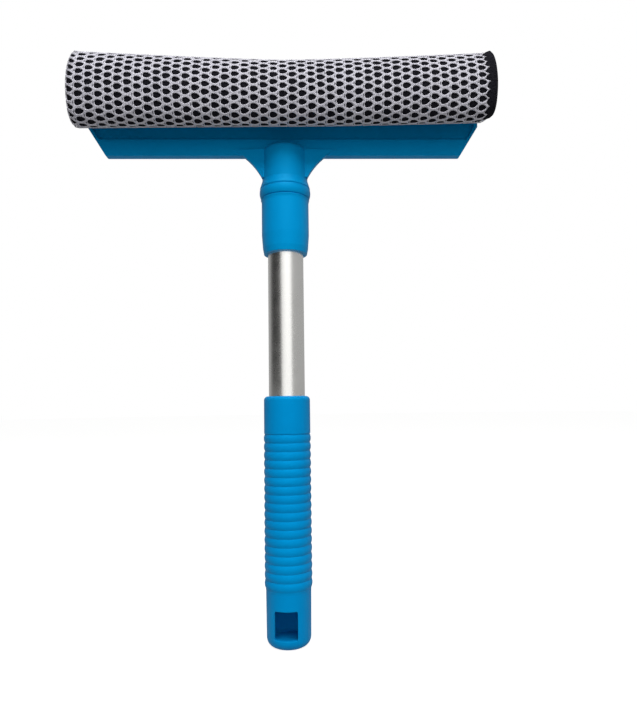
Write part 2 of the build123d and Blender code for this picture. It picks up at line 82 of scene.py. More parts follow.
class Graph:
    # A node tree with short calls: put adds a node, join links two sockets.

    def __init__(self, tree):
        self.tree = tree
        self.tree.nodes.clear()

    def put(self, kind, **settings):
        node = self.tree.nodes.new(kind)
        for key, value in settings.items():
            setattr(node, key, value)
        return node

    def join(self, source, target):
        self.tree.links.new(source, target)

    def feed(self, target, value):
        # A number or colour is set on the socket, a socket is linked to it.
        if isinstance(value, bpy.types.NodeSocket):
            self.join(value, target)
        else:
            target.default_value = value

    def sums(self, operation, *values):
        node = self.put("ShaderNodeMath", operation=operation)
        for socket, value in zip(node.inputs, values):
            self.feed(socket, value)
        return node.outputs[0]

    def vectors(self, operation, *values):
        node = self.put("ShaderNodeVectorMath", operation=operation)
        for socket, value in zip(node.inputs, values):
            self.feed(socket, value)
        return node.outputs["Value" if operation in ("DOT_PRODUCT", "LENGTH") else "Vector"]

    def noise(self, coordinates, scale, detail=3.0, rough=0.55):
        node = self.put("ShaderNodeTexNoise")
        self.join(coordinates, node.inputs["Vector"])
        node.inputs["Scale"].default_value = scale
        node.inputs["Detail"].default_value = detail
        node.inputs["Roughness"].default_value = rough
        return node.outputs["Fac"]

    def span(self, value, low, high, outLow, outHigh, smooth=False):
        node = self.put("ShaderNodeMapRange")
        node.interpolation_type = "SMOOTHSTEP" if smooth else "LINEAR"
        self.feed(node.inputs["Value"], value)
        for key, number in (("From Min", low), ("From Max", high), ("To Min", outLow), ("To Max", outHigh)):
            self.feed(node.inputs[key], number)
        return node.outputs["Result"]

    def blend(self, share, first, second):
        node = self.put("ShaderNodeMix", data_type="RGBA")
        self.feed(node.inputs[0], share)
        self.feed(node.inputs[6], first)
        self.feed(node.inputs[7], second)
        return node.outputs[2]

    def bump(self, height, distance, strength=1.0, normal=None):
        node = self.put("ShaderNodeBump")
        self.feed(node.inputs["Height"], height)
        node.inputs["Distance"].default_value = distance
        node.inputs["Strength"].default_value = strength
        if normal is not None:
            self.join(normal, node.inputs["Normal"])
        return node.outputs["Normal"]

    def place(self):
        return self.put("ShaderNodeTexCoord").outputs["Object"]


def newFinish(name, **shader):
    # A material with one Principled shader, whose uniform values are set on its own sockets.
    material = bpy.data.materials.new(name)
    material.use_nodes = True
    graph = Graph(material.node_tree)
    surface = graph.put("ShaderNodeBsdfPrincipled")
    output = graph.put("ShaderNodeOutputMaterial")
    graph.join(surface.outputs["BSDF"], output.inputs["Surface"])
    for key, value in shader.items():
        surface.inputs[key.replace("_", " ")].default_value = value
    return material, graph, surface


def newGroup(name, inputs, outputs):
    # A shader node group; inputs and outputs are (socket name, socket type, default).
    tree = bpy.data.node_groups.new(name, "ShaderNodeTree")
    for key, kind, value in inputs:
        socket = tree.interface.new_socket(name=key, in_out="INPUT", socket_type=kind)
        socket.default_value = value
    for key, kind in outputs:
        tree.interface.new_socket(name=key, in_out="OUTPUT", socket_type=kind)
    graph = Graph(tree)
    return tree, graph, graph.put("NodeGroupInput"), graph.put("NodeGroupOutput")


def placeGroup(graph, tree, **values):
    node = graph.put("ShaderNodeGroup", node_tree=tree)
    for key, value in values.items():
        node.inputs[key].default_value = value
    return node


def makeMouldedGrain():
    # Fine spark-eroded grain, slow clouds and a few rubbed specks, as on moulded plastic.
    tree, graph, given, out = newGroup(
        "mouldedGrain",
        [("grainScale", "NodeSocketFloat", 2600.0), ("cloudScale", "NodeSocketFloat", 28.0)],
        [("height", "NodeSocketFloat"), ("clouds", "NodeSocketFloat"), ("rubs", "NodeSocketFloat")],
    )
    place = graph.place()
    grain = graph.put("ShaderNodeTexNoise")
    clouds = graph.put("ShaderNodeTexNoise")
    for node, key, detail in ((grain, "grainScale", 2.0), (clouds, "cloudScale", 4.0)):
        graph.join(place, node.inputs["Vector"])
        graph.join(given.outputs[key], node.inputs["Scale"])
        node.inputs["Detail"].default_value = detail
    graph.join(grain.outputs["Fac"], out.inputs["height"])
    graph.join(graph.span(clouds.outputs["Fac"], 0.3, 0.7, 0.0, 1.0), out.inputs["clouds"])
    fine = graph.noise(place, 420.0, 6.0, 0.7)
    graph.join(graph.span(fine, 0.60, 0.72, 0.0, 1.0, True), out.inputs["rubs"])
    return tree


def makeSoftEdge():
    # Normal of slightly rounded edges, and a mask that is 1 on the edges themselves, where the plastics
    # paint a highlight.
    tree, graph, given, out = newGroup(
        "softEdge",
        [("radius", "NodeSocketFloat", 0.0004)],
        [("normal", "NodeSocketVector"), ("edge", "NodeSocketFloat")],
    )
    bevel = graph.put("ShaderNodeBevel", samples=6)
    graph.join(given.outputs["radius"], bevel.inputs["Radius"])
    plain = graph.put("ShaderNodeNewGeometry").outputs["Normal"]
    turned = graph.vectors("DOT_PRODUCT", bevel.outputs["Normal"], plain)
    graph.join(bevel.outputs["Normal"], out.inputs["normal"])
    graph.join(graph.span(turned, 0.995, 0.90, 0.0, 1.0), out.inputs["edge"])
    return tree


mouldedGrain = makeMouldedGrain()
softEdge = makeSoftEdge()

# Each plastic's edge colour is lighter than its own colour: a painted highlight on its edges.
plastics = {
    "bluePlastic": {
        "colour": (0.0, 0.285, 0.640, 1),
        "cloudColour": (0.0, 0.262, 0.605, 1),
        "edgeHighlightColour": (0.01, 0.36, 0.72, 1),
        "roughness": (0.40, 0.50),
        "specular": 0.30,
        "specularTint": (0.02, 0.70, 1.0, 1),
        "grainDepth": 0.05 * mm,
    },
    "blueGrip": {
        "colour": (0.0, 0.280, 0.650, 1),
        "cloudColour": (0.0, 0.255, 0.610, 1),
        "edgeHighlightColour": (0.01, 0.36, 0.73, 1),
        "roughness": (0.42, 0.54),
        "specular": 0.28,
        "specularTint": (0.02, 0.70, 1.0, 1),
        "grainDepth": 0.07 * mm,
    },
    "blackPlug": {
        "colour": (0.018, 0.018, 0.020, 1),
        "cloudColour": (0.024, 0.024, 0.027, 1),
        "edgeHighlightColour": (0.05, 0.05, 0.055, 1),
        "roughness": (0.45, 0.60),
        "specular": 0.40,
        "specularTint": (1, 1, 1, 1),
        "grainDepth": 0.06 * mm,
    },
}
# Rubbed gloss and grain are wear; the lighter edge colour is a painted highlight of edges catching the
# light.
plasticWearAndEdgeHighlight = {
    "edgeRadius": 0.4 * mm,
    # Painted highlight: the share of the lighter edge colour on a rounded edge.
    "edgeHighlightStrength": 0.55,  # how much of the edge colour shows on an edge
    "rubGloss": 0.06,  # roughness taken away where the surface is rubbed
    "grainStrength": 0.6,
}


def makePlastic(name):
    look = plastics[name]
    material, graph, surface = newFinish(
        name, Specular_IOR_Level=look["specular"], Specular_Tint=look["specularTint"])
    grain = placeGroup(graph, mouldedGrain)
    rim = placeGroup(graph, softEdge, radius=plasticWearAndEdgeHighlight["edgeRadius"])
    base = graph.blend(grain.outputs["clouds"], look["colour"], look["cloudColour"])
    # The edges get the lighter colour, a painted highlight where rounded edges catch the light.
    highlightShare = graph.sums("MULTIPLY", rim.outputs["edge"], plasticWearAndEdgeHighlight["edgeHighlightStrength"])
    graph.join(graph.blend(highlightShare, base, look["edgeHighlightColour"]), surface.inputs["Base Color"])
    rough = graph.span(grain.outputs["clouds"], 0.0, 1.0, *look["roughness"])
    rubbed = graph.sums("MULTIPLY", grain.outputs["rubs"], -plasticWearAndEdgeHighlight["rubGloss"])
    graph.join(graph.sums("ADD", rough, rubbed), surface.inputs["Roughness"])
    normal = graph.bump(grain.outputs["height"], look["grainDepth"], plasticWearAndEdgeHighlight["grainStrength"],
                        rim.outputs["normal"])
    graph.join(normal, surface.inputs["Normal"])
    return material


def makeAluminium():
    # Drawn tube: fine lines along its length, a slight haze and a few short scratches.
    material, graph, surface = newFinish("aluminiumTube", Metallic=1.0, Anisotropic=0.35)
    place = graph.place()
    mapping = graph.put("ShaderNodeMapping")
    graph.join(place, mapping.inputs["Vector"])
    mapping.inputs["Scale"].default_value = (1.0, 1.0, 0.02)
    lines = graph.noise(mapping.outputs["Vector"], 1500.0, 4.0, 0.6)
    haze = graph.noise(place, 55.0, 4.0, 0.6)
    tint = graph.blend(haze, (0.86, 0.855, 0.83, 1), (0.93, 0.925, 0.90, 1))
    graph.join(tint, surface.inputs["Base Color"])
    graph.join(graph.span(haze, 0.3, 0.7, 0.24, 0.32), surface.inputs["Roughness"])
    tangent = graph.put("ShaderNodeTangent", direction_type="RADIAL", axis="Z")
    graph.join(tangent.outputs["Tangent"], surface.inputs["Tangent"])
    graph.join(graph.bump(lines, 0.00002, 0.35), surface.inputs["Normal"])
    return material


def makeSteel():
    # Zinc-plated steel of the pin and screws.
    material, graph, surface = newFinish("steel", Metallic=1.0)
    place = graph.place()
    haze = graph.noise(place, 900.0, 4.0, 0.6)
    tint = graph.blend(haze, (0.46, 0.46, 0.45, 1), (0.62, 0.62, 0.60, 1))
    graph.join(tint, surface.inputs["Base Color"])
    graph.join(graph.span(haze, 0.3, 0.7, 0.28, 0.45), surface.inputs["Roughness"])
    graph.join(graph.bump(haze, 0.00003, 0.5), surface.inputs["Normal"])
    return material


def makeRubber():
    # Black rubber with a dry bloom and a fine wiping grain.
    material, graph, surface = newFinish("blackRubber", Specular_IOR_Level=0.35)
    place = graph.place()
    bloom = graph.noise(place, 60.0, 5.0, 0.65)
    grain = graph.noise(place, 2400.0, 2.0)
    tint = graph.blend(bloom, (0.012, 0.012, 0.013, 1), (0.028, 0.028, 0.030, 1))
    graph.join(tint, surface.inputs["Base Color"])
    graph.join(graph.span(bloom, 0.3, 0.7, 0.42, 0.62), surface.inputs["Roughness"])
    graph.join(graph.bump(grain, 0.00004, 0.5), surface.inputs["Normal"])
    return material


foamLook = {
    "pores": ((820.0, 0.7), (1700.0, 0.3)),  # pores to a metre, and their share of the relief
    # The pore colours are painted shade, darker than the walls' colours.
    "poreShadeColours": ((0.0016, 0.0016, 0.0052, 1), (0.0026, 0.0026, 0.0060, 1)),
    "wallColours": ((0.0060, 0.0060, 0.0100, 1), (0.0100, 0.0100, 0.0135, 1)),
    "poreDepth": 0.5 * mm,
}


def makeFoam():
    # Black open-cell foam: round pores of two sizes in a dull grey-black skeleton, with painted shade making
    # the pores darker than the walls.
    material, graph, surface = newFinish("foam", Specular_IOR_Level=0.12, Roughness=0.95)
    place = graph.place()
    relief = []
    for scale, share in foamLook["pores"]:
        cells = graph.put("ShaderNodeTexVoronoi")
        graph.join(place, cells.inputs["Vector"])
        cells.inputs["Scale"].default_value = scale
        relief.append(graph.sums("MULTIPLY", cells.outputs["Distance"], share))
    wall = graph.span(graph.sums("ADD", *relief), 0.15, 0.60, 0.0, 1.0)
    worn = graph.noise(place, 70.0, 4.0)
    poreShade = graph.blend(worn, *foamLook["poreShadeColours"])
    pale = graph.blend(worn, *foamLook["wallColours"])
    # Painted shade: the pores are darker than the walls between them.
    graph.join(graph.blend(wall, poreShade, pale), surface.inputs["Base Color"])
    graph.join(graph.bump(wall, foamLook["poreDepth"], 0.9), surface.inputs["Normal"])
    return material


yarnLook = {
    "colours": ((0.525, 0.515, 0.585, 1), (0.605, 0.600, 0.660, 1)),
    "shadeColour": (0.40, 0.39, 0.46, 1),  # between the filaments
    # Painted shade in the crease where two yarns meet.
    "grooveShadeColour": (0.25, 0.245, 0.30, 1),  # between two yarns
    # Painted shade where the yarn turns down into the hole.
    "rimShadeColour": (0.21, 0.205, 0.26, 1),  # at the hole's edge
    "slitColour": (0.03, 0.03, 0.045, 1),
    "filaments": (26.0, 2.2),  # round a hole, and how far they slant across the yarn
    "slitPlace": (0.228, 0.5, 0.0),  # of the slit left of each hole, on the map cell
    "slitShape": (1.0, 0.40, 0.0),  # it stands upright
    "slitSize": (0.022, 0.042),
    "reliefDepth": 0.12 * mm,
}


def makeYarn():
    # Polyester net yarn. The map yarn runs round each hole (u) and from the middle of a
    # band to the hole's rim (v); the map cell is the place in the cell.
    material, graph, surface = newFinish(
        "netYarn", Specular_IOR_Level=0.45, Sheen_Weight=0.35, Sheen_Roughness=0.4)
    yarn = graph.put("ShaderNodeUVMap", uv_map="yarn").outputs["UV"]
    cell = graph.put("ShaderNodeUVMap", uv_map="cell").outputs["UV"]
    place = graph.place()
    split = graph.put("ShaderNodeSeparateXYZ")
    graph.join(yarn, split.inputs["Vector"])
    # Filaments lie slantwise in the yarn, because it is twisted.
    count, lean = yarnLook["filaments"]
    countTurn = graph.sums("MULTIPLY", split.outputs["X"], count)
    leanTurn = graph.sums("MULTIPLY", split.outputs["Y"], lean)
    slant = graph.sums("ADD", countTurn, leanTurn)
    plies = graph.sums("SINE", graph.sums("MULTIPLY", slant, 2 * math.pi))
    plies = graph.span(plies, -1.0, 1.0, 0.0, 1.0)
    groove = graph.span(split.outputs["Y"], 0.0, 0.16, 0.0, 1.0, True)
    slit = graph.vectors("SUBTRACT", cell, yarnLook["slitPlace"])
    slit = graph.vectors("LENGTH", graph.vectors("MULTIPLY", slit, yarnLook["slitShape"]))
    slitMask = graph.span(slit, *yarnLook["slitSize"], 0.0, 1.0, True)
    tone = graph.noise(place, 45.0, 3.0)
    fuzz = graph.noise(place, 3500.0, 3.0, 0.7)
    bright = graph.blend(tone, *yarnLook["colours"])
    body = graph.blend(graph.sums("MULTIPLY", plies, 0.25), bright, yarnLook["shadeColour"])
    # Painted shade in the crease between two yarns, where the groove mask is low.
    grooveShaded = graph.blend(graph.span(groove, 0.0, 1.0, 0.30, 0.0), body, yarnLook["grooveShadeColour"])
    # Painted shade where the yarn turns down at the hole's rim.
    rim = graph.span(split.outputs["Y"], 0.86, 1.0, 0.0, 0.45, True)
    rimShaded = graph.blend(rim, grooveShaded, yarnLook["rimShadeColour"])
    slitted = graph.blend(slitMask, yarnLook["slitColour"], rimShaded)
    graph.join(slitted, surface.inputs["Base Color"])
    graph.join(graph.span(fuzz, 0.3, 0.7, 0.42, 0.60), surface.inputs["Roughness"])
    height = graph.sums("ADD", graph.sums("MULTIPLY", plies, 0.6), graph.sums("MULTIPLY", fuzz, 0.5))
    height = graph.sums("MULTIPLY", graph.sums("ADD", height, groove), slitMask)
    graph.join(graph.bump(height, yarnLook["reliefDepth"], 0.7), surface.inputs["Normal"])
    return material


finishes = {
    "blue_plastic": makePlastic("bluePlastic"),
    "blue_grip": makePlastic("blueGrip"),
    "black_plug": makePlastic("blackPlug"),
    "aluminium_tube": makeAluminium(),
    "steel": makeSteel(),
    "black_rubber": makeRubber(),
    "foam": makeFoam(),
    "net_fabric": makeYarn(),
}

for node in nodes.values():
    for holder in node.material_slots:
        holder.material = finishes[holder.material.name.split(".")[0]]
print("finishes made:", len(finishes))


# Pad surface

pad = {  # the pad's skin, as it is carried behind by the head plate
    "left": -126.0 * mm,
    "right": 127.6 * mm,
    "bottom": 305.8 * mm,
    "height": 40.9 * mm,
    "depth": 34.2 * mm,
    "back": 3.3 * mm,
    "endRise": 4.8 * mm,
    "leftDrop": 1.5 * mm,
    "rightRise": 2.2 * mm,
    "endSwell": 1.4 * mm,
    "swellPower": 1.3,
    "roundLow": 9.5 * mm,
    "roundTop": 11.0 * mm,
    "roundBack": 5.0 * mm,
    "lowTurn": 28.0,  # degrees below and above level where the front runs into its corners
    "topTurn": 38.0,
    "underSlope": 28.0,
    "topSlope": 10.0,
    "skinInset": 1.0 * mm,  # foam under the net's outer surface
    "flareLeft": (1.8 * mm, 0.0, -119.0 * mm, -125.0 * mm),  # rise of top and bottom, from x to x
    "flareRight": (2.4 * mm, 2.0 * mm, 118.0 * mm, 125.0 * mm),
    "leftDome": 4.0 * mm,
    "rightDome": 3.4 * mm,
    "domePower": 2.3,
    "domeReach": 19.0 * mm,
}

# Directions of the section's arcs, from the back's lower corner round by the front, and the
# arcs that each of its eight segments starts and ends on.
arcTurns = np.radians([0, pad["underSlope"] - 90, pad["lowTurn"] - 180, -180 - pad["topTurn"],
                       -270 - pad["topSlope"], -360])
startTurn = arcTurns[[0, 1, 1, 2, 3, 4, 4, 5]]
endTurn = arcTurns[[1, 1, 2, 3, 4, 4, 5, 5]]
startArc = np.array([0, 0, 1, 2, 3, 3, 4, 4])
endArc = np.array([0, 1, 1, 2, 3, 4, 4, 0])


def sectionArcs(x):
    # Centres and radii of the five arcs at x, each touching the next or a straight side.
    middle, half = (pad["left"] + pad["right"]) / 2, (pad["right"] - pad["left"]) / 2
    swell = np.abs((x - middle) / half) ** pad["swellPower"]
    low = pad["bottom"] + swell * np.where(x < 0, -pad["leftDrop"], pad["rightRise"])
    high = pad["bottom"] + pad["height"] + swell * pad["endRise"]
    for topRise, lowRise, start, full in (pad["flareLeft"], pad["flareRight"]):
        share = np.clip((x - start) / (full - start), 0, 1)
        share = share * share * (3 - 2 * share)
        low, high = low + share * lowRise, high + share * topRise
    front = -(pad["back"] + pad["depth"] + swell * pad["endSwell"])
    (under, down, up, fall), (roundLow, roundTop, roundBack) = (
        [math.radians(pad[key]) for key in ("underSlope", "lowTurn", "topTurn", "topSlope")],
        [pad[key] for key in ("roundLow", "roundTop", "roundBack")])
    corners = roundLow * (1 - math.sin(down)) + roundTop * (1 - math.sin(up))
    roundFront = (high - low - corners) / (math.sin(down) + math.sin(up))
    frontY = front + roundFront
    frontZ = low + roundLow + (roundFront - roundLow) * math.sin(down)
    lowY = frontY - (roundFront - roundLow) * math.cos(down)
    lowZ = frontZ - (roundFront - roundLow) * math.sin(down)
    topY = frontY - (roundFront - roundTop) * math.cos(up)
    topZ = frontZ + (roundFront - roundTop) * math.sin(up)
    backY = -pad["back"] - roundBack + 0 * x
    heelZ = lowZ + ((backY - lowY) * math.sin(under) - (roundLow - roundBack)) / math.cos(under)
    browZ = topZ - ((backY - topY) * math.sin(fall) - (roundTop - roundBack)) / math.cos(fall)
    radii = np.stack([roundBack + 0 * x, roundLow + 0 * x, roundFront, roundTop + 0 * x, roundBack + 0 * x])
    centres = np.stack([np.stack([backY, lowY, frontY, topY, backY]),
                        np.stack([heelZ, lowZ, frontZ, topZ, browZ])])
    return centres, radii - pad["skinInset"], (front - pad["back"]) / 2, (low + high) / 2


def sectionEnds():
    # Where each segment ends, as a share of the way round the section in the pad's middle,
    # and the whole way round.
    centres, radii, _, _ = sectionArcs(np.array((pad["left"] + pad["right"]) / 2))
    first = centres[:, startArc] + radii[startArc] * np.stack([np.cos(startTurn), np.sin(startTurn)])
    last = centres[:, endArc] + radii[endArc] * np.stack([np.cos(endTurn), np.sin(endTurn)])
    arcLengths = radii[startArc] * (startTurn - endTurn)
    lengths = np.where(startArc == endArc, arcLengths, np.hypot(*(last - first)))
    ends = np.concatenate([[0], np.cumsum(lengths)])
    return ends / ends[-1], float(ends[-1])


segmentEnds, girth = sectionEnds()


def padSection(x, around):
    # Cross-section at x: around runs from 0 to 1 along the underside to the front, up, back
    # along the top and down the back. On a straight side the direction stays and centre and
    # radius pass from one arc's to the next.
    x, around = np.broadcast_arrays(x, around % 1.0)
    centres, radii, middleY, middleZ = sectionArcs(x)
    segment = np.clip(np.searchsorted(segmentEnds, around, side="right") - 1, 0, 7)
    part = (around - segmentEnds[segment]) / (segmentEnds[segment + 1] - segmentEnds[segment])
    angle = startTurn[segment] + part * (endTurn[segment] - startTurn[segment])

    def passed(values):
        first = np.take_along_axis(values, startArc[segment][None], axis=0)[0]
        return first + part * (np.take_along_axis(values, endArc[segment][None], axis=0)[0] - first)

    radius = passed(radii)
    y, z = passed(centres[0]) + radius * np.cos(angle), passed(centres[1]) + radius * np.sin(angle)
    return y, z, middleY, middleZ


def domeTable(dome):
    # A quarter of a superellipse, as distance along it, reach inwards and rise outwards.
    turn = np.linspace(0, math.pi / 2, 400)
    inward = np.cos(turn) ** (2 / pad["domePower"])
    rise = dome * np.sin(turn) ** (2 / pad["domePower"])
    steps = np.hypot(np.diff(inward) * pad["domeReach"], np.diff(rise))
    return np.concatenate([[0], np.cumsum(steps)]), inward, rise


leftTable = domeTable(pad["leftDome"])
rightTable = domeTable(pad["rightDome"])
leftEdge = pad["left"] + pad["skinInset"] + pad["leftDome"]
rightEdge = pad["right"] - pad["rightDome"]


def padPoint(along, around):
    # Point of the foam's skin: along is the distance from the left end's rim, straight along
    # the pad and then over either domed end, where the section shrinks to its middle.
    past = along - (rightEdge - leftEdge)
    leftShare = np.interp(-along, leftTable[0], leftTable[1])
    rightShare = np.interp(past, rightTable[0], rightTable[1])
    x = leftEdge + np.clip(along, 0, rightEdge - leftEdge)
    x = x - np.interp(-along, leftTable[0], leftTable[2]) + np.interp(past, rightTable[0], rightTable[2])
    share = leftShare * rightShare
    y, z, middleY, middleZ = padSection(np.clip(x, pad["left"], pad["right"]), around)
    return np.stack([x, middleY + share * (y - middleY), middleZ + share * (z - middleZ)], axis=-1)


def padNormal(along, around):
    # Across the two directions of the skin, from points a little to each side.
    step, turn = 0.2 * mm, 0.001
    lengthwise = padPoint(along + step, around) - padPoint(along - step, around)
    crosswise = padPoint(along, around + turn) - padPoint(along, around - turn)
    normal = np.cross(lengthwise, crosswise)
    return normal / np.maximum(np.linalg.norm(normal, axis=-1, keepdims=True), 1e-12)


# Foam pad

foam = {
    "stations": 190,
    "around": 132,
    "endCrowding": 0.055,  # how much closer the stations stand towards the ends
    "poleGap": 0.4 * mm,  # from a pole to the first ring round it
    "recessRoom": 1.5 * mm,  # foam cut back round the carrier strip
    "recessDepth": 2.6 * mm,  # from the strip's back
}


def makeFoamPad():
    # The skin on a grid from the left pole to the right one, with the carrier's recess in
    # its back, closed by one point at each pole.
    reachLeft, reachRight = leftTable[0][-1], rightTable[0][-1]
    straight = rightEdge - leftEdge
    share = np.linspace(0, 1, foam["stations"] + 2)[1:-1]
    eased = share + foam["endCrowding"] * np.sin(2 * math.pi * share)
    along = -reachLeft + eased * (reachLeft + straight + reachRight)
    along = np.clip(along, -reachLeft + foam["poleGap"], straight + reachRight - foam["poleGap"])
    around = np.arange(foam["around"]) / foam["around"]
    grid = padPoint(*np.meshgrid(along, around, indexing="ij"))
    low, high = (np.array(corner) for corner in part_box("pad_carrier"))
    room = foam["recessRoom"]
    stripFront = high[1] - foam["recessDepth"]
    inside = ((np.abs(grid[..., 0]) < high[0] + room) & (grid[..., 2] > low[2] - room)
              & (grid[..., 2] < high[2] + room) & (grid[..., 1] > stripFront - room))
    grid[..., 1] = np.where(inside, stripFront, grid[..., 1])
    rings, sides = grid.shape[:2]
    number = np.arange(rings * sides).reshape(rings, sides)
    ahead = np.roll(number, -1, axis=1)
    quads = np.stack([number[:-1], number[1:], ahead[1:], ahead[:-1]], axis=-1).reshape(-1, 4)
    poles = padPoint(np.array([-reachLeft, straight + reachRight]), np.zeros(2))
    first, last = rings * sides, rings * sides + 1
    leftFan = np.stack([np.full(sides, first), number[0], ahead[0]], axis=-1)
    rightFan = np.stack([np.full(sides, last), ahead[-1], number[-1]], axis=-1)
    points = np.concatenate([grid.reshape(-1, 3), poles])
    faces = quads.tolist() + leftFan.tolist() + rightFan.tolist()
    piece = makePiece("foamCore", points, faces, "head", finishes["foam"])
    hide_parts("foam_pad")
    return piece


foamCore = makeFoamPad()
print("foam pad made:", len(foamCore.data.polygons), "faces")


# Net sleeve

net = {
    "rows": 26,  # holes round the pad
    "columns": 46,  # staggered columns of holes, the first two folded over the left end
    "columnStep": 5.536 * mm,
    "lastColumn": 116.06 * mm,  # x of the last column's middle
    "front": 0.385,  # place round the section that the rows are counted from
    "phase": (0.793, -0.072, -0.661, 0.010, 0.518),  # row there, by powers of x over the half length
    "density": (25.4, -2.03, 4.63, -0.11),  # rows round the section if all were as close as there
    "holeLeft": 1.95 * mm,  # the hole's reach from its middle: blunt to the left
    "holeRight": 2.65 * mm,  # pointed to the right
    "holeHalfHeight": 1.58 * mm,
    "bluntPower": 2.7,
    "pointedPower": 1.45,
    "leftTip": 3.40 * mm,  # the cell's left corner
    "rightTip": 3.65 * mm,
    "toothReach": (1.2 * mm, 0.3 * mm),  # how far the cut edge's teeth and notches are pulled out
    "lift": 0.12 * mm,  # net over foam
    "grooveHeight": 0.56 * mm,  # heights over the foam: between two yarns, on them, at the rim
    "yarnHeight": 0.80 * mm,
    "rimHeight": 0.32 * mm,
    "underHeight": 0.06 * mm,
    "slitHeight": 0.22 * mm,
    "yarnBack": 0.52,  # where the yarn's back lies, as a share of the way to the hole
    "skew": 0.020,  # how far the folded end is turned, as a share of the way round
    "holeSpread": 0.04,
    "ragged": 0.45 * mm,
    "weldDistance": 0.02 * mm,
    "cellMapSize": 10.0 * mm,  # length that the map cell counts as 1
    "areaShare": 0.60,  # yarn in the flat sheet, the rest is holes
    "seed": 7,
}


def cellTemplate(rowStep):
    # The cell is a six-sided outline with 16 points, flat above and below; the hole is
    # two half superellipses, blunt to the left and pointed to the right.
    step, left, right = net["columnStep"], net["leftTip"], net["rightTip"]
    topRight, topLeft, top = step - left, -(step - right), rowStep / 2
    corners = [(topRight, top), (topLeft, top), (-left, 0), (topLeft, -top), (topRight, -top), (right, 0)]
    outline = []
    for (ax, ay), (bx, by), parts in zip(corners, corners[1:] + corners[:1], (2, 3, 3, 2, 3, 3)):
        share = np.arange(parts)[:, None] / parts
        outline.append(np.array([[ax, ay]]) * (1 - share) + np.array([[bx, by]]) * share)
    outline = np.concatenate(outline)
    angle = np.arctan2(outline[:, 1] / top, outline[:, 0] / right)
    cosine, sine = np.cos(angle), np.sin(angle)
    power = np.where(cosine < 0, net["bluntPower"], net["pointedPower"])
    reach = np.where(cosine < 0, net["holeLeft"], net["holeRight"])
    unit = (np.abs(cosine) ** power + np.abs(sine) ** power) ** (-1 / power)
    hole = np.stack([reach * unit * cosine, net["holeHalfHeight"] * unit * sine], axis=-1)
    atSlit = np.zeros(len(outline), bool)
    atSlit[[0, 5, 10]] = True
    return outline, hole, atSlit


